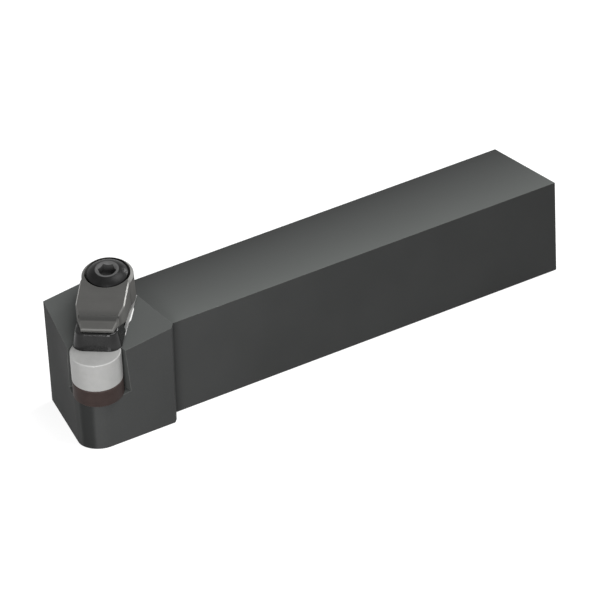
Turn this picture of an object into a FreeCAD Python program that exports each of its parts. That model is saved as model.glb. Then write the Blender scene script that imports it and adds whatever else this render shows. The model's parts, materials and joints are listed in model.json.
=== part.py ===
import FreeCAD, Part
import math
import os

# Square shank turning tool holder with a round ceramic insert under a top clamp.
# Millimetres. X runs from the cutting head to the rear end, the near side looks along -Y,
# and Z is up. The origin is the middle of the shank's bottom face.

Vector = FreeCAD.Vector
Placement = FreeCAD.Placement
Rotation = FreeCAD.Rotation

# Shank and working sizes of the tool
shank_width = 25.0
shank_height = 25.0
overall_length = 150.0
head_length = 28.0
functional_width = 32.0
cutting_height = 25.0

# Head
near_face_inset = 2.8
front_face_angle = 18.4
front_face_lean = 2.2
front_corner_radius = 5.3
head_top_drop = 1.0
head_top_rise_along = 6.3
head_top_rise_across = 7.3
head_back_chamfer = 1.2

# Round insert, shim and their pocket
insert_diameter = 12.7
insert_thickness = 7.94
insert_edge_land = 0.2
shim_thickness = 4.76
shim_edge_chamfer = 0.25
seat_rake = 6.0
pocket_clearance = 0.05

# Shim screw
shim_screw_diameter = 4.0
shim_screw_length = 11.0
shim_screw_head_diameter = 6.4
shim_screw_head_angle = 60.0
shim_screw_sink = 0.3
shim_screw_socket = 2.5
shim_screw_socket_depth = 1.6
shim_hole_clearance = 0.2

# Slot line: its heading from the shank's axis, and the small turn of the clamp's body from its key
slot_heading = 45.0
clamp_turn = 1.5

# Clamp, seen from the side: distances from the insert's axis and heights above its top
nose_start = 1.5
nose_underside = 4.5
nose_front_height = 0.85
step_foot_start = 3.8
step_foot = 5.8
step_top_start = 5.5
step_top = 6.8
flat_start = 15.0
underside_bend = 3.7
plate_rear_underside = 2.1
arch_end = 14.6
arch_height = 1.3
wide_underside = 0.2
wide_start = 17.5

# Clamp, seen from above
nose_half_width = 4.05
body_half_width = 6.12
body_offset = -0.2
taper_end = 9.3
shoulder_start = 17.6
shoulder_length = 1.7
shoulder_inset = 0.75
clamp_edge_chamfer = 0.3
lobe_overhang = 0.38
lobe_chamfer = 1.0
clamp_rear_inset = 0.2

# Guide key of the clamp and the slot in the head that it runs in
key_half_width = 4.94
key_clearance = 0.06
key_start = 12.0
key_relief = 0.6
heel_start = 25.0
slot_floor = 3.2
slot_edge_chamfer = 0.9

# Clamp screw, with its distance from the insert's axis
screw_distance = 21.1
screw_flat_height = 8.6
screw_tilt = 6.0
screw_diameter = 6.0
screw_length = 25.0
screw_head_diameter = 10.4
screw_head_sink = 2.5
screw_head_rim = 0.25
screw_head_rise = 1.05
screw_dome_bulge = 0.2
screw_socket = 4.0
screw_socket_depth = 2.6
screw_ring_diameter = 6.1
screw_socket_chamfer = 0.15
screw_end_chamfer = 0.6
counterbore_clearance = 0.55
screw_hole_clearance = 0.25
thread_clearance = 0.05

# Spring under the clamp
spring_wire = 0.6
spring_clearance = 0.3
spring_turns = 4.0
spring_steps_per_turn = 10
spring_pocket_depth = 4.6
spring_seat_depth = 0.5
spring_end_gap = 0.02

# Pressure plate and the pin that keys it to the clamp
plate_front = -0.3
plate_rear = 9.8
plate_half_width = 6.2
plate_offset = -0.35
plate_draft = 0.9
plate_corner_radius = 3.2
plate_rear_radius = 1.5
plate_edge_round = 0.5
pin_diameter = 2.0
pin_distance = 7.0
pin_recess = 0.8
pin_depth = 1.8
pin_clearance = 0.03

# Drilled holes
drill_point_angle = 118.0
drill_allowance = 1.5

# A face looks up, or is a wall, where the upright part of its normal is above or below these
looks_up = 0.6
is_wall = 0.1

# Places that follow from the sizes
insert_radius = insert_diameter / 2
shank_length = overall_length - head_length
rear_x = shank_length / 2
back_x = rear_x - shank_length
tip_x = rear_x - overall_length
far_y = shank_width / 2
tip_y = far_y - functional_width
near_y = tip_y + near_face_inset
rake = math.radians(seat_rake)
seat_reach = insert_radius * math.cos(rake)
seat_centre = Vector(tip_x + seat_reach, tip_y + seat_reach, cutting_height + insert_radius * math.sin(rake))
pocket_radius = insert_radius + pocket_clearance
pocket_depth = insert_thickness + shim_thickness
pocket_reach = near_face_inset + insert_diameter
slot_half_width = key_half_width + key_clearance
slot_length = 2 * head_length
lobe_radius = body_half_width + lobe_overhang
spring_radius = screw_diameter / 2 + spring_clearance + spring_wire / 2
spring_bore_radius = spring_radius + spring_wire / 2 + spring_clearance
far_reach = 2 * overall_length


def seat_placement():
    """Frame on the insert's top: X across the slot line, Y along it to the screw, Z up."""
    up = Vector(-math.tan(rake), -math.tan(rake), 1)
    up.normalize()
    heading = math.radians(slot_heading)
    across = Vector(math.sin(heading), -math.cos(heading), 0)
    across = across - up * up.dot(across)
    across.normalize()
    along = up.cross(across)
    return Placement(seat_centre, Rotation(across, along, up, "ZXY"))


seat_frame = seat_placement()
turn_on_screw = Placement(Vector(), Rotation(Vector(0, 0, 1), clamp_turn), Vector(0, screw_distance, 0))
clamp_frame = seat_frame * turn_on_screw
screw_on_clamp = Placement(Vector(0, screw_distance, screw_flat_height), Rotation(Vector(1, 0, 0), screw_tilt))
screw_frame = clamp_frame * screw_on_clamp


def placed(shape, frame):
    """A copy of the shape, moved from its own frame into the part's frame."""
    moved = shape.copy()
    moved.Placement = frame * moved.Placement
    return moved


def polygon_face(points):
    """Flat face inside a closed run of straight edges."""
    return Part.Face(Part.makePolygon(points + [points[0]]))


def outline_face(edges):
    """Flat face inside a closed run of lines and arcs."""
    return Part.Face(Part.Wire(edges))


def half_space(point, normal):
    """Large block that fills the side of a plane that the normal points away from."""
    corner = Vector(-far_reach / 2, -far_reach / 2, -far_reach)
    block = Part.makeBox(far_reach, far_reach, far_reach, corner)
    block.Placement = Placement(point, Rotation(Vector(0, 0, 1), normal))
    return block


def revolved(points):
    """Solid of revolution about Z from radius and height pairs."""
    face = polygon_face([Vector(radius, 0, height) for radius, height in points])
    return face.revolve(Vector(0, 0, 0), Vector(0, 0, 1), 360)


def side_profile(points, half_width):
    """Prism with a side view outline, given as distance and height, as wide as twice the half width."""
    face = polygon_face([Vector(-half_width, distance, height) for distance, height in points])
    return face.extrude(Vector(2 * half_width, 0, 0))


def drilled_hole(radius, top, bottom):
    """Blind hole about Z between two heights, with the cone that a drill leaves."""
    point = radius / math.tan(math.radians(drill_point_angle / 2))
    return revolved([(0, top), (radius, top), (radius, bottom), (0, bottom - point)])


def hex_prism(across_flats, top, depth):
    """Hexagonal socket about Z with a corner on the X axis."""
    radius = across_flats / math.sqrt(3)
    angles = [math.radians(60 * step) for step in range(6)]
    corners = [Vector(radius * math.cos(a), radius * math.sin(a), top - depth) for a in angles]
    return polygon_face(corners).extrude(Vector(0, 0, depth))


def nearest_edge(shape, point):
    """The straight or curved edge whose middle is nearest to a point."""
    return min(shape.Edges, key=lambda edge: edge.CenterOfMass.distanceToPoint(point))


def face_normal(face, point):
    """Outward normal of a face at the place nearest to a point."""
    u, v = face.Surface.parameter(point)
    return face.normalAt(u, v)


def rim_edges(shape, end):
    """Edges ahead of an end distance where a face that looks up meets a wall."""
    rims = []
    for edge in shape.Edges:
        middle = edge.CenterOfMass
        heights = [face_normal(face, middle).z for face in shape.ancestorsOfType(edge, Part.Face)]
        if max(heights) > looks_up and abs(min(heights, key=abs)) < is_wall and middle.y < end:
            rims.append(edge)
    return rims


# Holder body

def head_outline():
    """Plan of the head at the bottom, drawn long at the front for the leaning face to cut."""
    chamfer = head_back_chamfer
    return polygon_face([
        Vector(back_x, far_y, 0),
        Vector(tip_x - head_length, far_y, 0),
        Vector(tip_x - head_length, near_y, 0),
        Vector(back_x - chamfer, near_y, 0),
        Vector(back_x, near_y + chamfer, 0),
    ])


def rounded_front_corner(head):
    """Round the corner under the insert, wider upward so that its ends stay upright."""
    lean = math.tan(math.radians(front_face_lean)) / math.cos(math.radians(front_face_angle))
    half_corner = math.radians(90 - front_face_angle) / 2
    top = cutting_height
    corner = nearest_edge(head, Vector(tip_x - lean * top / 2, near_y, top / 2))
    heights = [vertex.Z for vertex in corner.Vertexes]
    radii = [front_corner_radius + lean * height * math.tan(half_corner) for height in heights]
    return head.makeFillet(radii[0], radii[1], [corner])


def head_block():
    """Head with its leaning front face, sloping top and rounded front corner."""
    head = head_outline().extrude(Vector(0, 0, 2 * shank_height))
    angle = math.radians(front_face_angle)
    lean = math.radians(front_face_lean)
    outward = Vector(-math.cos(angle) * math.cos(lean), math.sin(angle) * math.cos(lean), -math.sin(lean))
    head = head.common(half_space(Vector(tip_x, near_y, 0), outward))
    slope_along = math.tan(math.radians(head_top_rise_along))
    slope_across = math.tan(math.radians(head_top_rise_across))
    top_point = seat_centre - Vector(0, 0, head_top_drop)
    head = head.common(half_space(top_point, Vector(-slope_along, -slope_across, 1)))
    return rounded_front_corner(head)


def insert_pocket():
    """Room for insert and shim: a quarter round with two straight walls that run out of the head."""
    toward_rear = Vector(math.sqrt(0.5), math.sqrt(0.5), 0)
    toward_far = Vector(-math.sqrt(0.5), math.sqrt(0.5), 0)
    rear_wall = toward_rear * pocket_radius
    far_wall = toward_far * pocket_radius
    rear_exit = rear_wall - toward_far * pocket_reach
    far_exit = far_wall - toward_rear * pocket_reach
    outside = (toward_rear + toward_far) * -pocket_reach
    plan = outline_face([
        Part.Arc(rear_wall, Vector(0, pocket_radius, 0), far_wall).toShape(),
        Part.makeLine(far_wall, far_exit),
        Part.makeLine(far_exit, outside),
        Part.makeLine(outside, rear_exit),
        Part.makeLine(rear_exit, rear_wall),
    ])
    plan.translate(Vector(0, 0, -pocket_depth))
    return placed(plan.extrude(Vector(0, 0, pocket_depth + shank_height)), seat_frame)


def clamp_slot():
    """Straight slot for the clamp's key, open to the pocket and to the back, with broken edges."""
    top = shank_height
    half = slot_half_width
    edge = -head_top_drop - slot_edge_chamfer
    opening = half + top - edge
    section = polygon_face([
        Vector(-half, 0, -slot_floor),
        Vector(half, 0, -slot_floor),
        Vector(half, 0, edge),
        Vector(opening, 0, top),
        Vector(-opening, 0, top),
        Vector(-half, 0, edge),
    ])
    return placed(section.extrude(Vector(0, slot_length, 0)), seat_frame)


def screw_holes():
    """Holes for the clamp screw, its spring and the shim screw."""
    thread_bottom = -screw_head_sink - screw_length - drill_allowance
    thread = drilled_hole(screw_diameter / 2 + thread_clearance, 0, thread_bottom)
    floor = spring_floor()
    spring_pocket = Part.makeCylinder(spring_bore_radius, -floor, Vector(0, 0, floor))
    shim_bottom = shim_screw_top() - shim_screw_length - drill_allowance
    shim_hole = drilled_hole(shim_screw_diameter / 2 + thread_clearance, 0, shim_bottom)
    return placed(thread.fuse(spring_pocket), screw_frame).fuse(placed(shim_hole, seat_frame))


def holder_body():
    """Shank and head in one piece."""
    shank = Part.makeBox(shank_length, shank_width, shank_height, Vector(back_x, -far_y, 0))
    body = shank.fuse(head_block())
    for cutter in (insert_pocket(), clamp_slot(), screw_holes()):
        body = body.cut(cutter)
    return body.removeSplitter()


# Insert, shim and shim screw

def shim_screw_top():
    """Height of the shim screw's head, below the shim's top."""
    return -insert_thickness - shim_screw_sink


def round_insert():
    """Plain ceramic disc with a narrow land round both faces."""
    land = insert_edge_land
    disc = revolved([
        (0, -insert_thickness),
        (insert_radius - land, -insert_thickness),
        (insert_radius, land - insert_thickness),
        (insert_radius, -land),
        (insert_radius - land, 0),
        (0, 0),
    ])
    return placed(disc, seat_frame)


def shim_screw_profile(clearance):
    """Radius and height pairs of the shim screw's countersunk head and shank."""
    head = shim_screw_head_diameter / 2 + clearance
    shank = shim_screw_diameter / 2 + clearance
    top = shim_screw_top()
    cone = (head - shank) / math.tan(math.radians(shim_screw_head_angle / 2))
    return head, shank, top, cone


def shim():
    """Round seat under the insert, with the countersunk hole of its screw."""
    bottom = -pocket_depth
    edge = shim_edge_chamfer
    disc = revolved([
        (0, bottom),
        (insert_radius - edge, bottom),
        (insert_radius, bottom + edge),
        (insert_radius, -insert_thickness - edge),
        (insert_radius - edge, -insert_thickness),
        (0, -insert_thickness),
    ])
    head, shank, top, cone = shim_screw_profile(shim_hole_clearance)
    hole = revolved([(0, 0), (head, 0), (head, top), (shank, top - cone), (shank, bottom - 1), (0, bottom - 1)])
    return placed(disc.cut(hole), seat_frame)


def shim_screw():
    """Countersunk screw that holds the shim on the pocket floor."""
    head, shank, top, cone = shim_screw_profile(0)
    end = top - shim_screw_length
    body = revolved([(0, top), (head, top), (shank, top - cone), (shank, end), (0, end)])
    return placed(body.cut(hex_prism(shim_screw_socket, top, shim_screw_socket_depth)), seat_frame)


# Clamp, pressure plate and pin

def flat_height(distance):
    """Height of the flat round the clamp screw, which is square to the screw."""
    return screw_flat_height + (distance - screw_distance) * math.tan(math.radians(screw_tilt))


def underside_height(distance):
    """Height of the clamp's underside behind the nose, where the plate seats."""
    fall = (nose_underside - plate_rear_underside) / (plate_rear - underside_bend)
    return nose_underside - (distance - underside_bend) * fall


def step_arc():
    """Concave rise from the nose to the body, tangent to the nose's top."""
    foot = Vector(0, step_foot_start, step_foot)
    chord = Vector(0, step_top_start, step_top) - foot
    nose_slope = math.atan2(step_foot - nose_underside - nose_front_height, step_foot_start - nose_start)
    turn = math.atan2(chord.z, chord.y) - nose_slope
    middle_slope = nose_slope + turn / 2
    reach = chord.Length / 2 / math.cos(turn / 2)
    middle = foot + Vector(0, math.cos(middle_slope), math.sin(middle_slope)) * reach
    return Part.Arc(foot + chord, middle, foot).toShape()


def clamp_side():
    """Face of the clamp's side view: nose, step, sloping body, and the arched underside."""
    around = [Vector(0, distance, height) for distance, height in [
        (step_foot_start, step_foot),
        (nose_start, nose_underside + nose_front_height),
        (nose_start, nose_underside),
        (underside_bend, nose_underside),
        (plate_rear, plate_rear_underside),
        (arch_end, arch_height),
        (wide_start, wide_underside),
        (screw_distance, wide_underside),
        (screw_distance, flat_height(screw_distance)),
        (flat_start, flat_height(flat_start)),
        (step_top_start, step_top),
    ]]
    edges = [Part.makeLine(a, b) for a, b in zip(around, around[1:])]
    return outline_face(edges + [step_arc()])


def clamp_body():
    """Nose and body, tapered toward the nose and shouldered at the screw, with chamfered upper rims."""
    widths = [
        (body_half_width, taper_end),
        (body_half_width, shoulder_start),
        (body_half_width - shoulder_inset, shoulder_start + shoulder_length),
    ]
    right = [(nose_half_width, nose_start)]
    right += [(body_offset + half, distance) for half, distance in widths]
    left = [(body_offset - half, distance) for half, distance in reversed(widths)]
    left.append((-nose_half_width, nose_start))
    plan = polygon_face([Vector(across, distance, 0) for across, distance in right + left])
    side = clamp_side().extrude(Vector(4 * body_half_width, 0, 0))
    side.translate(Vector(-2 * body_half_width, 0, 0))
    body = side.common(plan.extrude(Vector(0, 0, shank_height)))
    return body.makeChamfer(clamp_edge_chamfer, rim_edges(body, flat_start))


def clamp_lobe():
    """Round rear end about the screw, with a broad bevel round its top."""
    bottom = -screw_flat_height - shank_height
    lobe = revolved([
        (0, bottom),
        (lobe_radius, bottom),
        (lobe_radius, -lobe_chamfer),
        (lobe_radius - lobe_chamfer, 0),
        (0, 0),
    ])
    return placed(lobe, screw_on_clamp)


def clamp_key(lobe):
    """Narrow foot in line with the slot that it runs in: relieved in the middle, seated at its heel."""
    end = screw_distance + 2 * lobe_radius
    foot = side_profile([
        (key_start, underside_height(plate_rear)),
        (key_start + slot_floor, key_relief - slot_floor),
        (heel_start, key_relief - slot_floor),
        (heel_start, -slot_floor),
        (end, -slot_floor),
        (end, screw_flat_height / 2),
        (key_start, screw_flat_height / 2),
    ], key_half_width)
    foot = placed(foot, turn_on_screw.inverse())
    ahead_of_screw = Part.makeBox(
        2 * body_half_width, screw_distance, 4 * shank_height,
        Vector(-body_half_width, 0, -2 * shank_height),
    )
    return foot.common(ahead_of_screw.fuse(lobe))


def clamp():
    """One forged piece: nose and body, round rear end, guide key, holes for screw and pin."""
    lobe = clamp_lobe()
    upper_lobe = lobe.common(half_space(Vector(0, 0, wide_underside), Vector(0, 0, -1)))
    body = clamp_body().fuse(upper_lobe).fuse(clamp_key(lobe))
    bearing = -screw_head_sink
    head_room = Part.makeCylinder(
        screw_head_diameter / 2 + counterbore_clearance, shank_height, Vector(0, 0, bearing))
    screw_room = Part.makeCylinder(
        screw_diameter / 2 + screw_hole_clearance, 2 * shank_height, Vector(0, 0, -shank_height))
    spring_seat = Part.makeCylinder(
        spring_bore_radius, shank_height, Vector(0, 0, spring_top() - shank_height))
    pin_room = Part.makeCylinder(
        pin_diameter / 2 + pin_clearance, pin_top() + pin_clearance, Vector(0, pin_distance, 0))
    for cutter in (head_room, screw_room, spring_seat):
        body = body.cut(placed(cutter, screw_on_clamp))
    rear_plane = half_space(Vector(back_x - clamp_rear_inset, 0, 0), Vector(1, 0, 0))
    return placed(body.cut(pin_room).removeSplitter(), clamp_frame).common(rear_plane)


def pin_top():
    """Height of the pin's upper end, inside the clamp."""
    return underside_height(pin_distance) + pin_depth


def rounded_plan(inset, height):
    """Wire of the pressure plate's outline at one height, drawn in by its draft."""
    half = plate_half_width - inset
    front = plate_front + inset
    front_round = plate_corner_radius - inset
    rear_round = plate_rear_radius
    diagonal = 1 - math.sqrt(0.5)

    def point(x, y):
        return Vector(x + plate_offset, y, height)

    def corner(side, edge_y, radius, forward):
        """Arc between a side and the front or rear edge."""
        inner_y = edge_y + forward * radius
        middle = point(side * (half - radius * diagonal), edge_y + forward * radius * diagonal)
        return point(side * half, inner_y), middle, point(side * (half - radius), edge_y)

    front_right = corner(1, front, front_round, 1)
    front_left = corner(-1, front, front_round, 1)
    rear_right = corner(1, plate_rear, rear_round, -1)
    rear_left = corner(-1, plate_rear, rear_round, -1)
    edges = []
    for a, b in ((front_right, front_left), (rear_left, rear_right)):
        edges.append(Part.Arc(a[0], a[1], a[2]).toShape())
        edges.append(Part.makeLine(a[2], b[2]))
        edges.append(Part.Arc(b[2], b[1], b[0]).toShape())
        next_start = rear_left[0] if a is front_right else front_right[0]
        edges.append(Part.makeLine(b[0], next_start))
    return Part.Wire(edges)


def pressure_plate():
    """Drafted plate between clamp and insert, whose top follows the clamp's underside."""
    block = Part.makeLoft([rounded_plan(0, 0), rounded_plan(plate_draft, nose_underside)], True, True)
    top = side_profile([
        (plate_front - 1, -1),
        (plate_rear + 1, -1),
        (plate_rear + 1, underside_height(plate_rear + 1)),
        (underside_bend, nose_underside),
        (plate_front - 1, nose_underside),
    ], 2 * plate_half_width)
    plate = block.common(top)
    front_top = nearest_edge(plate, Vector(plate_offset, plate_front + plate_draft, nose_underside))
    plate = plate.makeFillet(plate_edge_round, [front_top])
    hole = Part.makeCylinder(pin_diameter / 2 + pin_clearance, nose_underside, Vector(0, pin_distance, 0))
    return placed(plate.cut(hole), clamp_frame)


def plate_pin():
    """Dowel that stands in the clamp and keys the pressure plate."""
    pin = Part.makeCylinder(pin_diameter / 2, pin_top() - pin_recess, Vector(0, pin_distance, pin_recess))
    return placed(pin, clamp_frame)


# Clamp screw and spring

def clamp_screw():
    """Socket head screw with a low domed top and a countersunk rim round its hexagon."""
    head = screw_head_diameter / 2
    shank = screw_diameter / 2
    bearing = -screw_head_sink
    end = bearing - screw_length
    ring = screw_ring_diameter / 2
    rise = screw_head_rise
    points = [Vector(0, 0, end), Vector(shank - screw_end_chamfer, 0, end)]
    points.append(Vector(shank, 0, end + screw_end_chamfer))
    points.append(Vector(shank, 0, bearing))
    points.append(Vector(head, 0, bearing))
    points.append(Vector(head, 0, -screw_head_rim))
    dome_middle = Vector((head + ring) / 2, 0, (rise - screw_head_rim) / 2 + screw_dome_bulge)
    edges = [Part.makeLine(a, b) for a, b in zip(points, points[1:])]
    edges.append(Part.Arc(points[-1], dome_middle, Vector(ring, 0, rise)).toShape())
    edges.append(Part.makeLine(Vector(ring, 0, rise), Vector(0, 0, rise)))
    edges.append(Part.makeLine(Vector(0, 0, rise), points[0]))
    body = outline_face(edges).revolve(Vector(0, 0, 0), Vector(0, 0, 1), 360)
    socket = hex_prism(screw_socket, rise, screw_socket_depth)
    mouth = screw_socket / math.sqrt(3) + screw_socket_chamfer
    countersink = revolved([(0, rise), (mouth, rise), (0, rise - mouth)])
    return placed(body.cut(socket).cut(countersink), screw_frame)


def spring_top():
    """Height of the spring's upper seat in the clamp, on the screw's axis."""
    return spring_floor() + spring_pocket_depth + (key_relief + spring_seat_depth)


def spring_floor():
    """Height of the spring's lower seat in the holder, on the screw's axis."""
    slot = -(screw_flat_height + slot_floor) / math.cos(math.radians(screw_tilt))
    return slot - spring_pocket_depth


def clamp_spring():
    """Round wire compression spring about the screw, in short straight runs, with the clamp down."""
    bottom = spring_floor() + spring_wire / 2 + spring_end_gap
    top = spring_top() - spring_wire / 2 - spring_end_gap
    steps = round(spring_turns * spring_steps_per_turn)
    path = []
    for step in range(steps + 1):
        angle = 2 * math.pi * step / spring_steps_per_turn
        height = bottom + (top - bottom) * step / steps
        path.append(Vector(spring_radius * math.cos(angle), spring_radius * math.sin(angle), height))
    section = Part.Wire(Part.makeCircle(spring_wire / 2, path[0], path[1] - path[0]))
    right_corner = 1
    coil = Part.makePolygon(path).makePipeShell([section], True, False, right_corner)
    return placed(coil, screw_frame)


builders = {
    "holder_body": holder_body,
    "shim": shim,
    "shim_screw": shim_screw,
    "round_insert": round_insert,
    "clamp": clamp,
    "pressure_plate": pressure_plate,
    "plate_pin": plate_pin,
    "clamp_screw": clamp_screw,
    "clamp_spring": clamp_spring,
}

os.makedirs("parts", exist_ok=True)
for name, build in builders.items():
    solid = build()
    solid.exportStep("parts/" + name + ".step")
    print(name, "solids", len(solid.Solids), "volume", round(solid.Volume, 1), "valid", solid.isValid())
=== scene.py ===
import bpy
import bmesh
import json
import math
from mathutils import Matrix, Vector


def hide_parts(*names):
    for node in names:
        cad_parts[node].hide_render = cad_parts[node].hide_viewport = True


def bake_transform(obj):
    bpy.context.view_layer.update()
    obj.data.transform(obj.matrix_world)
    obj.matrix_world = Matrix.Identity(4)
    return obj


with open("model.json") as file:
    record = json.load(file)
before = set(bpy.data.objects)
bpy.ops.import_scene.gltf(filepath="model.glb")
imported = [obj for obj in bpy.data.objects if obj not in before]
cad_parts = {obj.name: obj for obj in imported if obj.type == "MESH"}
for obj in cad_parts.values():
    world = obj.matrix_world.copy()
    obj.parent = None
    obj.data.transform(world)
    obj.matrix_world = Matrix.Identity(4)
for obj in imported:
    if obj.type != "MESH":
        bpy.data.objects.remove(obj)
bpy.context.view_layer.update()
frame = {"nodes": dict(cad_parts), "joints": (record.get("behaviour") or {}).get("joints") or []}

# Camera: its place in metres, how it is turned in degrees, and its lens in millimetres
camera_place = Vector((-0.927414, -1.290859, 0.842972))
camera_azimuth = -35.364
camera_elevation = 27.744
camera_roll = -2.0
camera_lens = 424.75

# Places on the tool, in metres: middle of the insert's top, back of the head, half the shank's width
seat_centre = Vector((-0.0826848, -0.0131848, 0.0256638))
head_back = -0.0609
shank_half_width = 0.0125

# How the seat leans along and across the shank, and how the clamp is turned on its screw
seat_rake = math.radians(6.0)
clamp_turn = math.radians(1.5)

# Clamp screw: where its head bears on the clamp, and the line it turns about
screw_joint = next(joint for joint in frame["joints"] if joint["name"] == "clamp_screw_turn")
screw_bearing = Vector(screw_joint["pos_m"])
screw_axis = Vector(screw_joint["axis"])

# Spring, in metres: its lower end, radius of its middle line, wire, length with the clamp down
spring_seat_low = Vector((-0.0659472, 0.0036165, 0.0213286))
spring_radius = 0.0036
spring_wire_radius = 0.0003
spring_length = 0.00566
spring_end_gap = 0.00002
spring_coils = 4
spring_steps_per_coil = 24
spring_wire_sides = 14

# Floor, in metres: half its width, and how far it lies under the shank
floor_reach = 6
floor_drop = 0.0002

# Light: glow of the floor, and of the surroundings as they light the tool and as they are seen
floor_glow = 0.72
surroundings_light = 0.30
surroundings_seen = 1.0

# Finishes: one millimetre in metres, and the bevel's samples
millimetre = 0.001
bevel_samples = 6


def grey(value):
    """Neutral colour."""
    return value, value, value, 1


def seat_axes():
    """Axes on the insert's top: across the slot, along it toward the clamp screw, and up."""
    up = Vector((-math.tan(seat_rake), -math.tan(seat_rake), 1)).normalized()
    across = Vector((math.sqrt(0.5), -math.sqrt(0.5), 0))
    return Matrix((across, up.cross(across), up)).transposed()


def clamp_axes():
    """Axes of the clamp, which is turned a little on its screw from the slot."""
    return seat_axes() @ Matrix.Rotation(clamp_turn, 3, "Z")


def screw_axes():
    """Axes of the clamp screw and the spring round it."""
    return screw_axis.to_track_quat("Z", "Y").to_matrix()


# Building blocks for the finishes

class Finish:
    """Nodes of a material or a group, joined by their sockets."""

    def __init__(self, tree):
        self.tree = tree

    def add(self, kind, **settings):
        """New node with its plain settings."""
        node = self.tree.nodes.new(kind)
        for name, value in settings.items():
            setattr(node, name, value)
        return node

    def join(self, value, socket):
        """Link an output to a socket, or set the socket's own value, or leave it if there is none."""
        if isinstance(value, bpy.types.NodeSocket):
            self.tree.links.new(value, socket)
        elif value is not None:
            socket.default_value = value

    def fill(self, node, **values):
        """Node with values joined to its inputs, whose names have an underscore for a space here."""
        for name, value in values.items():
            self.join(value, node.inputs[name.replace("_", " ")])
        return node

    def group(self, tree, **values):
        """Shared effect placed here with its own values."""
        return self.fill(self.add("ShaderNodeGroup", node_tree=tree), **values).outputs

    def maths(self, operation, *values):
        """Result of one maths step."""
        node = self.add("ShaderNodeMath", operation=operation)
        for value, socket in zip(values, node.inputs):
            self.join(value, socket)
        return node.outputs[0]

    def chain(self, operation, values):
        """One maths step repeated over several values."""
        result = values[0]
        for value in values[1:]:
            result = self.maths(operation, result, value)
        return result

    def times(self, *values):
        """Product of several values."""
        return self.chain("MULTIPLY", values)

    def total(self, *values):
        """Sum of several values."""
        return self.chain("ADD", values)

    def highest(self, *values):
        """Highest of several values."""
        return self.chain("MAXIMUM", values)

    def size(self, value):
        """Value without its sign."""
        return self.maths("ABSOLUTE", value)

    def radius(self, x, y):
        """Distance from the Z axis."""
        return self.maths("SQRT", self.total(self.times(x, x), self.times(y, y)))

    def weighted(self, first, second, share):
        """Mean of two values, with the first one's share."""
        return self.total(self.times(first, share), self.times(second, 1 - share))

    def spread(self, value, low, high, start=0.0, end=1.0, ends="SMOOTHSTEP"):
        """Value carried from one range to another, with soft ends, or straight ones if LINEAR."""
        node = self.add("ShaderNodeMapRange", interpolation_type=ends)
        for item, socket in zip((value, low, high, start, end), node.inputs):
            self.join(item, socket)
        return node.outputs[0]

    def between(self, share, start, end):
        """Value that goes evenly from start to end while the share goes from 0 to 1."""
        return self.spread(share, 0.0, 1.0, start, end, ends="LINEAR")

    def above(self, value, limit, soft):
        """Mask of the values above a limit, which comes in softly about it."""
        return self.spread(value, limit - soft, limit + soft)

    def below(self, value, limit, soft):
        """Mask of the values below a limit, which fades out softly about it."""
        return self.spread(value, limit + soft, limit - soft)

    def band(self, value, low, full_low, full_high, high):
        """Mask of a range of values, with soft ends."""
        return self.times(self.spread(value, low, full_low), self.spread(value, high, full_high))

    def blend(self, share, first, second):
        """Colour between two colours."""
        node = self.add("ShaderNodeMix", data_type="RGBA")
        first_colour, second_colour = node.inputs[6:8]
        self.join(share, node.inputs["Factor"])
        self.join(first, first_colour)
        self.join(second, second_colour)
        return node.outputs[2]

    def speckles(self, place, scale, detail, roughness=0.5):
        """Uneven spots all over the surface."""
        node = self.add("ShaderNodeTexNoise")
        return self.fill(node, Vector=place, Scale=scale, Detail=detail, Roughness=roughness).outputs["Fac"]

    def streaks(self, value, scale, detail):
        """Uneven lines where one value stays the same."""
        node = self.add("ShaderNodeTexNoise", noise_dimensions="1D")
        return self.fill(node, W=value, Scale=scale, Detail=detail).outputs["Fac"]

    def object_place(self):
        """Place on the piece in metres, in the part's frame."""
        return self.add("ShaderNodeTexCoord").outputs["Object"]

    def local(self, origin, axes):
        """Place on the piece in millimetres from an origin, along turned axes."""
        node = self.add("ShaderNodeMapping", vector_type="TEXTURE")
        scale = (millimetre, millimetre, millimetre)
        place = self.object_place()
        return self.fill(
            node, Vector=place, Location=origin, Rotation=axes.to_euler(), Scale=scale).outputs[0]

    def parts(self, vector):
        """X, Y and Z of a vector."""
        node = self.add("ShaderNodeSeparateXYZ")
        self.join(vector, node.inputs[0])
        return tuple(node.outputs)

    def agreement(self, first, second):
        """How well two directions agree, from -1 to 1."""
        node = self.add("ShaderNodeVectorMath", operation="DOT_PRODUCT")
        self.join(first, node.inputs[0])
        self.join(second, node.inputs[1])
        return node.outputs["Value"]

    def facing(self, direction):
        """How much the surface faces a direction, from -1 to 1."""
        return self.agreement(self.add("ShaderNodeTexCoord").outputs["Normal"], tuple(direction))

    def softened(self, radius):
        """Normal that rounds the edges off within a radius in metres."""
        return self.fill(self.add("ShaderNodeBevel", samples=bevel_samples), Radius=radius).outputs[0]

    def raised(self, height, depth, normal=None):
        """Normal of fine relief, whose depth is in metres, over the softened edges."""
        node = self.add("ShaderNodeBump")
        return self.fill(node, Distance=depth, Strength=1.0, Height=height, Normal=normal).outputs[0]


def shared(name, inputs, outputs):
    """Empty shader node group with named sockets, and its finish."""
    tree = bpy.data.node_groups.new(name, "ShaderNodeTree")
    for label, kind in inputs.items():
        tree.interface.new_socket(label, in_out="INPUT", socket_type="NodeSocket" + kind)
    for label, kind in outputs.items():
        tree.interface.new_socket(label, in_out="OUTPUT", socket_type="NodeSocket" + kind)
    finish = Finish(tree)
    return tree, finish, finish.add("NodeGroupInput").outputs, finish.add("NodeGroupOutput").inputs


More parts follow.
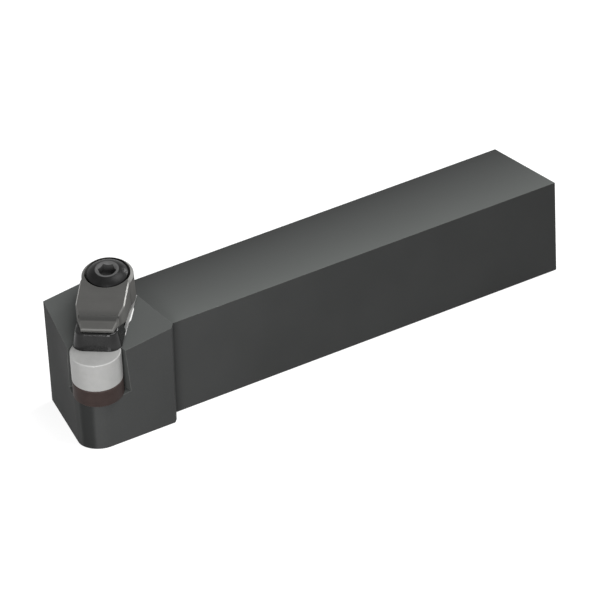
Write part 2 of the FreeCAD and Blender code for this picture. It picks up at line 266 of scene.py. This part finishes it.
def broken_edges():
    """Shared effect: softly broken edges, and a mask of the wear along them."""
    tree, work, given, result = shared(
        "broken edges",
        inputs={"Edge": "Float", "Wear Width": "Float", "Patchiness": "Float"},
        outputs={"Normal": "Vector", "Wear": "Float"},
    )
    flat = work.add("ShaderNodeNewGeometry").outputs["Normal"]
    away = work.maths("SUBTRACT", 1.0, work.agreement(work.softened(given["Wear Width"]), flat))
    patches = work.speckles(work.object_place(), given["Patchiness"], 3.0)
    wear = work.times(work.spread(away, 0.03, 0.25), work.spread(patches, 0.38, 0.62, 0.45, 1.0))
    work.join(work.softened(given["Edge"]), result["Normal"])
    work.join(wear, result["Wear"])
    return tree


def surface_grain():
    """Shared effect: height of a fine grain, and a tone made of the grain and a slow change."""
    tree, work, given, result = shared(
        "surface grain",
        inputs={"Vector": "Vector", "Grain": "Float", "Cloud": "Float"},
        outputs={"Tone": "Float", "Height": "Float"},
    )
    fine = work.speckles(given["Vector"], given["Grain"], 4.0, roughness=0.6)
    slow = work.speckles(given["Vector"], given["Cloud"], 2.0)
    work.join(work.spread(work.weighted(fine, slow, 0.35), 0.3, 0.7), result["Tone"])
    work.join(fine, result["Height"])
    return tree


def screw_thread():
    """Shared effect: height of a right-hand thread about Z, as a share of its pitch."""
    run_out = 0.6
    tree, work, given, result = shared(
        "screw thread",
        inputs={"Vector": "Vector", "Pitch": "Float", "Top": "Float"},
        outputs={"Height": "Float"},
    )
    x, y, z = work.parts(given["Vector"])
    turns = work.maths("DIVIDE", work.maths("ARCTAN2", y, x), math.tau)
    rise = work.maths("SUBTRACT", work.maths("DIVIDE", z, given["Pitch"]), turns)
    flank = work.maths("PINGPONG", rise, 0.5)
    threaded = work.spread(z, given["Top"], work.maths("SUBTRACT", given["Top"], run_out))
    work.join(work.times(flank, threaded), result["Height"])
    return tree


edges = broken_edges()
grain = surface_grain()
thread = screw_thread()


def new_material(name, specular):
    """New material, its finish, and its shader."""
    material = bpy.data.materials.new(name)
    material.use_nodes = True
    work = Finish(material.node_tree)
    shader = material.node_tree.nodes["Principled BSDF"]
    return material, work, work.fill(shader, Specular_IOR_Level=specular)


# Holder

def painted_top_sheen(work, x, y):
    """Mask of the faces that look up, painted paler as a sheen, most along the shank's near side."""
    upward = work.above(work.facing((0, 0, 1)), 0.93, 0.03)
    on_shank = work.above(x, head_back, 0.0003)
    near = work.spread(y, shank_half_width, -shank_half_width, 0.1, 1.0, ends="LINEAR")
    return work.times(upward, work.between(on_shank, 0.55, near))


def pocket_walls(work):
    """Mask of the pocket's walls and floor, which are milled after blackening and also painted lighter to
    lift the shade in the pocket.
    """
    wall = 6.46
    pocket_floor = -12.75
    x, y, z = work.parts(work.local(seat_centre, seat_axes()))
    to_rear = work.times(work.total(x, y), math.sqrt(0.5))
    to_far = work.times(work.maths("SUBTRACT", y, x), math.sqrt(0.5))
    inside = work.below(work.highest(to_rear, to_far), wall, 0.02)
    return work.times(inside, work.above(z, pocket_floor, 0.03))


def corner_painted_shade(work, x):
    """Mask of the darker band of painted shade down the round corner under the insert."""
    bearing = math.radians(62)
    corner_end = -0.079
    facing = work.facing((-math.sin(bearing), -math.cos(bearing), 0))
    return work.times(work.spread(facing, 0.90, 0.985, 0.0, 0.75), work.below(x, corner_end, 0.001))


def slot_edges_and_highlight(work):
    """Mask of the bright broken edges along the clamp's slot, bare steel with a painted highlight, widest
    beside the clamp's body.
    """
    slot_side = 5.0
    chamfer_end = 8.1
    land_start = 5.82
    land_end = 6.12
    wide_land_end = 6.5
    land_front = 8.2
    far_side_rear = 18.5
    near_side_rear = 25.5
    lowest = -3.75
    axes = seat_axes()
    x, y, z = work.parts(work.local(seat_centre, axes))
    side = work.size(x)
    sloping = work.spread(work.size(work.facing(axes.col[0])), 0.45, 0.6)
    upward = work.spread(work.facing(axes.col[2]), 0.45, 0.6)
    chamfer = work.times(work.above(side, slot_side, 0.02), work.below(side, chamfer_end, 0.1), sloping)
    beside_body = work.band(y, 13.0, 14.5, 18.5, 20.0)
    land = work.times(
        work.above(side, land_start, 0.02),
        work.maths("LESS_THAN", side, work.between(beside_body, land_end, wide_land_end)),
        work.above(y, land_front, 0.4),
        0.8,
    )
    near_side = work.times(work.above(x, 0.5, 0.5), work.below(y, near_side_rear, 0.5))
    shown = work.highest(work.below(y, far_side_rear, 0.5), near_side)
    above_floor = work.above(z, lowest, 0.25)
    return work.times(work.highest(chamfer, land), upward, shown, above_floor)


def blackened_steel():
    """Holder: black oxide over milled steel, worn at its edges, with a painted sheen on its top, painted
    shade down its round corner, pocket painted lighter and a partly painted highlight along the slot.
    """
    oxide_dark = (0.029, 0.0297, 0.0294, 1)
    oxide_light = (0.035, 0.0358, 0.0355, 1)
    top_sheen_colour = (0.090, 0.095, 0.092, 1)
    pocket_steel_painted_lighter = (0.048, 0.050, 0.049, 1)
    corner_shade_colour = (0.010, 0.0105, 0.0103, 1)
    worn_steel = (0.14, 0.14, 0.135, 1)
    slot_edge_steel_and_highlight = (0.92, 0.92, 0.91, 1)
    material, work, shader = new_material("blackened steel", 0.06)
    place = work.object_place()
    x, y, z = work.parts(place)
    broken = work.group(edges, Edge=0.00015, Wear_Width=0.00035, Patchiness=500.0)
    speckle = work.group(grain, Vector=place, Grain=3200.0, Cloud=45.0)
    tone = work.blend(speckle["Tone"], oxide_dark, oxide_light)
    # painted sheen: the top faces are painted paler, most along the near side
    tone = work.blend(painted_top_sheen(work, x, y), tone, top_sheen_colour)
    # pocket walls and floor painted lighter, partly bare steel, partly to lift the recess's shade
    tone = work.blend(pocket_walls(work), tone, pocket_steel_painted_lighter)
    # painted shade: a darker band down the round corner
    tone = work.blend(corner_painted_shade(work, x), tone, corner_shade_colour)
    off_floor = work.spread(z, 0.0006, 0.003, 0.0, 0.35)
    tone = work.blend(work.times(broken["Wear"], off_floor), tone, worn_steel)
    # bare steel along the slot's edges, with a painted highlight widest beside the clamp's body
    slot = slot_edges_and_highlight(work)
    dull = work.between(speckle["Tone"], 0.62, 0.74)
    work.fill(
        shader,
        Base_Color=work.blend(slot, tone, slot_edge_steel_and_highlight),
        Metallic=work.between(slot, 0.0, 0.2),
        Roughness=work.maths("SUBTRACT", dull, work.times(slot, 0.3)),
        Normal=work.raised(speckle["Height"], 0.000004, broken["Normal"]),
    )
    return material


# Clamp

def step_shade(work, y, forward):
    """Mask of the painted shade in the hollow of the clamp's step, and at the start of the top above it."""
    top_start = 5.5
    shade_end = 7.8
    hollow = work.times(forward, work.band(y, 3.2, 3.9, 5.4, 6.2))
    fading = work.spread(y, shade_end, top_start, 0.0, 0.55)
    return work.highest(hollow, work.times(work.spread(y, top_start - 0.2, top_start), fading))


def ground_chamfer_highlights(work, x, y, axes, forward):
    """Mask of the ground chamfers, brightened with a painted highlight: faint at the nose, bright along the
    body, weak at the rear.
    """
    nose_end = 2.45
    body_middle = -0.2
    body_front = 9.25
    round_end = 17.2
    upward = work.facing(axes.col[2])
    chamfer = work.band(upward, 0.50, 0.56, 0.86, 0.90)
    nose = work.times(forward, work.below(y, nose_end, 0.15), 0.07)
    sideways = work.spread(work.size(work.facing(axes.col[0])), 0.25, 0.4)
    along_body = work.spread(y, 8.6, 9.8, 0.06, 0.6)
    from_middle = work.size(work.maths("SUBTRACT", x, body_middle))
    shown = work.highest(
        work.spread(from_middle, 5.94, 5.99),
        work.above(y, round_end, 0.2),
        work.spread(x, 0.0, -0.1),
        work.below(y, body_front, 0.15),
    )
    rear = work.spread(x, -2.0, 2.0, 0.12, 0.4)
    toward_rear = work.between(work.spread(y, 16.0, 18.0), 1.0, rear)
    body = work.times(sideways, along_body, shown, toward_rear)
    return work.times(chamfer, work.highest(nose, body))


def clamp_steel():
    """Clamp: fine milling lines with a brownish cast, sides painted paler as if lit, painted shade in the
    step's hollow, and ground chamfers with a painted highlight.
    """
    steel_dark = (0.032, 0.0315, 0.0295, 1)
    steel_light = (0.046, 0.0455, 0.043, 1)
    side_painted_light = (0.078, 0.077, 0.073, 1)
    step_painted_shade = (0.012, 0.012, 0.011, 1)
    ground_steel_and_highlight = (0.42, 0.415, 0.40, 1)
    step_middle = 5.2
    material, work, shader = new_material("clamp steel", 0.35)
    axes = clamp_axes()
    place = work.local(seat_centre, axes)
    x, y = work.parts(place)[:2]
    broken = work.group(edges, Edge=0.00012, Wear_Width=0.0003, Patchiness=900.0)
    speckle = work.group(grain, Vector=place, Grain=5.0, Cloud=0.25)
    lines = work.streaks(work.total(y, work.times(x, 0.01)), 4.0, 4.0)
    tone = work.blend(work.weighted(lines, speckle["Tone"], 0.6), steel_dark, steel_light)
    # painted light: the clamp's sides are painted paler
    sides = work.spread(work.size(work.facing(axes.col[0])), 0.6, 0.8)
    tone = work.blend(sides, tone, side_painted_light)
    forward = work.spread(work.facing(-axes.col[1]), 0.3, 0.45)
    # painted shade in the step's hollow and at the start of the top
    tone = work.blend(step_shade(work, y, forward), tone, step_painted_shade)
    from_step = work.size(work.maths("SUBTRACT", y, step_middle))
    worn = work.times(broken["Wear"], work.spread(from_step, 1.2, 1.8, 0.0, 0.12))
    # ground chamfers brightened with a painted highlight, and real wear along the edges
    bright = work.highest(ground_chamfer_highlights(work, x, y, axes, forward), worn)
    work.fill(
        shader,
        Base_Color=work.blend(bright, tone, ground_steel_and_highlight),
        Metallic=work.between(bright, 0.1, 0.9),
        Roughness=work.between(bright, 0.55, 0.35),
        Normal=work.raised(speckle["Height"], 0.000012, broken["Normal"]),
    )
    return material


# Screws

def black_screw():
    """Clamp screw: black oxide, turned head with a paler ring round the hexagon, rolled thread."""
    oxide_dark = grey(0.003)
    oxide_light = grey(0.006)
    socket_oxide = grey(0.034)
    ring_oxide = grey(0.068)
    worn_oxide = grey(0.10)
    socket_radius = 2.37
    ring_inside = 1.9
    ring_outside = 3.0
    head_flat = 1.3
    pitch = 1.0
    thread_top = -1.5
    turning_waves = 30.0
    turning_depth = 0.004
    grain_depth = 0.01
    material, work, shader = new_material("black screw", 0.12)
    place = work.local(screw_bearing, screw_axes())
    x, y, z = work.parts(place)
    radius = work.radius(x, y)
    broken = work.group(edges, Edge=0.00012, Wear_Width=0.0002, Patchiness=900.0)
    speckle = work.group(grain, Vector=place, Grain=6.0, Cloud=0.4)
    tone = work.blend(speckle["Tone"], oxide_dark, oxide_light)
    hexagon = work.times(work.below(radius, socket_radius, 0.03), work.above(z, -0.2, 0.2))
    tone = work.blend(hexagon, tone, socket_oxide)
    flat = work.times(work.above(work.facing(screw_axis), 0.4, 0.1), work.above(z, head_flat, 0.1))
    ring = work.times(
        flat, work.above(radius, ring_inside, 0.05), work.below(radius, ring_outside, 0.05))
    tone = work.blend(ring, tone, ring_oxide)
    turned = work.times(work.maths("SINE", work.times(radius, turning_waves)), turning_depth)
    rolled = work.group(thread, Vector=place, Pitch=pitch, Top=thread_top)["Height"]
    height = work.total(turned, rolled, work.times(speckle["Height"], grain_depth))
    work.fill(
        shader,
        Base_Color=work.blend(work.times(broken["Wear"], 0.3), tone, worn_oxide),
        Roughness=work.between(speckle["Tone"], 0.28, 0.36),
        Normal=work.raised(height, pitch * millimetre, broken["Normal"]),
    )
    return material


def shim_screw_steel():
    """Shim screw: black oxide with a rolled thread."""
    oxide_dark = grey(0.012)
    oxide_light = grey(0.02)
    worn_oxide = grey(0.12)
    pitch = 0.7
    thread_top = -11.0
    grain_depth = 0.01
    material, work, shader = new_material("shim screw steel", 0.2)
    place = work.local(seat_centre, seat_axes())
    broken = work.group(edges, Edge=0.0001, Wear_Width=0.0002, Patchiness=900.0)
    speckle = work.group(grain, Vector=place, Grain=6.0, Cloud=0.4)
    tone = work.blend(speckle["Tone"], oxide_dark, oxide_light)
    rolled = work.group(thread, Vector=place, Pitch=pitch, Top=thread_top)["Height"]
    height = work.total(rolled, work.times(speckle["Height"], grain_depth))
    work.fill(
        shader,
        Base_Color=work.blend(work.times(broken["Wear"], 0.3), tone, worn_oxide),
        Roughness=0.5,
        Normal=work.raised(height, pitch * millimetre, broken["Normal"]),
    )
    return material


# Insert, shim and pressure plate

def ground_disc(name, dark, light, edge, roughness, metal, line):
    """Disc ground on its side and faces: fine lines round its axis and a narrow paler edge."""
    material, work, shader = new_material(name, 0.05)
    place = work.local(seat_centre, seat_axes())
    x, y, z = work.parts(place)
    broken = work.group(edges, Edge=0.0001, Wear_Width=0.00025, Patchiness=1200.0)
    speckle = work.group(grain, Vector=place, Grain=7.0, Cloud=0.5)
    rings = work.streaks(work.total(z, work.radius(x, y)), line, 3.0)
    ground = work.weighted(rings, speckle["Tone"], 0.5)
    slope = work.size(work.facing(seat_axes().col[2]))
    narrow_edge = work.band(slope, 0.4, 0.55, 0.82, 0.92)
    height = work.total(rings, work.times(speckle["Height"], 0.5))
    work.fill(
        shader,
        Base_Color=work.blend(narrow_edge, work.blend(ground, dark, light), edge),
        Metallic=work.spread(slope, 0.1, 0.9, metal, 0.15 * metal),
        Roughness=work.between(ground, roughness - 0.06, roughness + 0.06),
        Normal=work.raised(height, 0.000003, broken["Normal"]),
    )
    return material


def plate_carbide():
    """Pressure plate: dark sintered carbide with a gloss, faint grain, a slightly worn rim and painted
    shade on its top.
    """
    carbide_dark = grey(0.004)
    carbide_light = grey(0.009)
    top_painted_shade = grey(0.001)
    worn_carbide = grey(0.16)
    material, work, shader = new_material("plate carbide", 0.08)
    place = work.local(seat_centre, clamp_axes())
    broken = work.group(edges, Edge=0.00035, Wear_Width=0.00025, Patchiness=900.0)
    speckle = work.group(grain, Vector=place, Grain=6.0, Cloud=0.3)
    tone = work.blend(speckle["Tone"], carbide_dark, carbide_light)
    # painted shade: the plate's top face is painted near black
    top = work.spread(work.facing(clamp_axes().col[2]), 0.9, 0.97)
    tone = work.blend(top, tone, top_painted_shade)
    wear = work.times(broken["Wear"], work.spread(top, 0.0, 1.0, 0.1, 0.0))
    work.fill(
        shader,
        Base_Color=work.blend(wear, tone, worn_carbide),
        Roughness=work.between(speckle["Tone"], 0.22, 0.32),
        Coat_Weight=0.3,
        Coat_Roughness=0.12,
        Normal=work.raised(speckle["Height"], 0.0000015, broken["Normal"]),
    )
    return material


# Spring and pin

def bright_steel(name, origin, axes, grain_scale, colours, metal, roughness, depth):
    """Plain bright steel with a faint grain; colour, metal and roughness run between two values."""
    material, work, shader = new_material(name, 0.5)
    speckle = work.group(grain, Vector=work.local(origin, axes), Grain=grain_scale, Cloud=0.8)
    work.fill(
        shader,
        Base_Color=work.blend(speckle["Tone"], *colours),
        Metallic=work.between(speckle["Tone"], *metal),
        Roughness=work.between(speckle["Height"], *roughness),
        Normal=work.raised(speckle["Height"], depth),
    )
    return material


wire = bright_steel(
    "drawn spring wire", spring_seat_low, screw_axes(), grain_scale=8.0,
    colours=((0.28, 0.28, 0.27, 1), (0.40, 0.40, 0.39, 1)),
    metal=(0.8, 0.95), roughness=(0.24, 0.38), depth=0.000003)
finishes = {
    "holder_body": blackened_steel(),
    "clamp": clamp_steel(),
    "clamp_screw": black_screw(),
    "pressure_plate": plate_carbide(),
    "round_insert": ground_disc(
        "ceramic", dark=(0.226, 0.226, 0.222, 1), light=(0.262, 0.262, 0.257, 1),
        edge=(0.27, 0.27, 0.265, 1), roughness=0.34, metal=0.38, line=9.0),
    "shim": ground_disc(
        "shim carbide", dark=(0.020, 0.014, 0.013, 1), light=(0.031, 0.022, 0.020, 1),
        edge=(0.04, 0.03, 0.028, 1), roughness=0.5, metal=0.1, line=7.0),
    "shim_screw": shim_screw_steel(),
    "plate_pin": bright_steel(
        "ground pin", seat_centre, clamp_axes(), grain_scale=9.0,
        colours=((0.45, 0.45, 0.44, 1), (0.58, 0.58, 0.57, 1)),
        metal=(0.88, 1.0), roughness=(0.18, 0.3), depth=0.000002),
    "clamp_spring": wire,
}
for node, material in finishes.items():
    piece = frame["nodes"][node]
    piece.data.materials.clear()
    piece.data.materials.append(material)


# Spring, camera, floor and light

def coil_spring():
    """Smooth round wire spring in place of the plain solid, stretched between holder and clamp."""
    shape = bmesh.new()
    bmesh.ops.create_circle(
        shape, cap_ends=True, segments=spring_wire_sides, radius=spring_wire_radius)
    upright = Matrix.Rotation(math.radians(90), 4, "X")
    first_end = Matrix.Translation((spring_radius, 0, spring_wire_radius + spring_end_gap))
    bmesh.ops.transform(shape, matrix=first_end @ upright, verts=shape.verts)
    steps = spring_steps_per_coil * spring_coils
    climb = (spring_length - 2 * spring_wire_radius) / steps
    bmesh.ops.spin(
        shape, geom=shape.faces[:], cent=(0, 0, 0), axis=(0, 0, 1), dvec=(0, 0, climb),
        angle=math.tau * spring_coils, steps=steps, use_merge=False, use_duplicate=False)
    bmesh.ops.recalc_face_normals(shape, faces=shape.faces[:])
    for face in shape.faces:
        face.smooth = len(face.verts) == 4
    place = Matrix.Translation(spring_seat_low) @ screw_axes().to_4x4()
    bmesh.ops.transform(shape, matrix=place, verts=shape.verts)
    mesh = bpy.data.meshes.new("coil spring")
    shape.to_mesh(mesh)
    shape.free()
    made = bpy.data.objects.new("coil_spring", mesh)
    bpy.context.scene.collection.objects.link(made)
    mesh.materials.append(wire)
    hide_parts("clamp_spring")
    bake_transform(made)


def camera():
    """Camera at the photograph's place, with a slight roll and no shift."""
    data = bpy.data.cameras.new("camera")
    data.lens = camera_lens
    data.clip_start = 0.1
    data.clip_end = 20
    azimuth = math.radians(camera_azimuth)
    elevation = math.radians(camera_elevation)
    roll = math.radians(camera_roll)
    back = Vector((
        math.sin(azimuth) * math.cos(elevation),
        -math.cos(azimuth) * math.cos(elevation),
        math.sin(elevation),
    ))
    level = Vector((math.cos(azimuth), math.sin(azimuth), 0))
    upright = back.cross(level)
    right = level * math.cos(roll) + upright * math.sin(roll)
    up = upright * math.cos(roll) - level * math.sin(roll)
    turn = Matrix((right, up, back)).transposed()
    made = bpy.data.objects.new("camera", data)
    made.matrix_world = Matrix.LocRotScale(camera_place, turn, None)
    bpy.context.scene.collection.objects.link(made)
    bpy.context.scene.camera = made


def lamp(name, place, target, size, power):
    """Soft square area lamp aimed at a point."""
    data = bpy.data.lights.new(name, "AREA")
    data.shape = "SQUARE"
    data.size = size
    data.energy = power
    made = bpy.data.objects.new(name, data)
    made.location = place
    made.rotation_mode = "QUATERNION"
    made.rotation_quaternion = (Vector(target) - Vector(place)).to_track_quat("-Z", "Y")
    bpy.context.scene.collection.objects.link(made)


def seen_or_mirrored(work):
    """One for rays from the camera or from a glossy or clear surface, and nothing for the others."""
    rays = work.add("ShaderNodeLightPath").outputs
    return work.highest(rays["Is Camera Ray"], rays["Is Glossy Ray"], rays["Is Transmission Ray"])


def floor():
    """Large pale floor under the shank that shows white, with the tool's soft shadow."""
    mesh = bpy.data.meshes.new("floor")
    shape = bmesh.new()
    bmesh.ops.create_grid(shape, x_segments=1, y_segments=1, size=floor_reach)
    bmesh.ops.translate(shape, vec=(0, 0, -floor_drop), verts=shape.verts)
    shape.to_mesh(mesh)
    shape.free()
    made = bpy.data.objects.new("floor", mesh)
    bpy.context.scene.collection.objects.link(made)
    material, work, shader = new_material("pale floor", 0.0)
    glow = work.times(seen_or_mirrored(work), floor_glow)
    work.fill(
        shader, Base_Color=grey(0.4), Roughness=0.9, Emission_Color=grey(1), Emission_Strength=glow)
    mesh.materials.append(material)


def studio():
    """Even pale surroundings that show white, and light the tool at a plain level."""
    world = bpy.data.worlds.new("studio")
    bpy.context.scene.world = world
    world.use_nodes = True
    work = Finish(world.node_tree)
    strength = work.between(seen_or_mirrored(work), surroundings_light, surroundings_seen)
    work.fill(world.node_tree.nodes["Background"], Color=grey(1), Strength=strength)


camera()
floor()
studio()
coil_spring()
lamp("overhead", place=(0.2, -0.25, 0.75), target=(-0.02, 0, 0.02), size=0.5, power=5.9)
lamp("right", place=(0.9, 0.1, 0.55), target=(-0.06, 0, 0.03), size=0.22, power=3.5)
lamp("low front", place=(-0.22, -0.185, 0.07), target=(-0.07, -0.015, 0.015), size=0.09, power=0.84)
bpy.context.scene.view_settings.view_transform = "Standard"
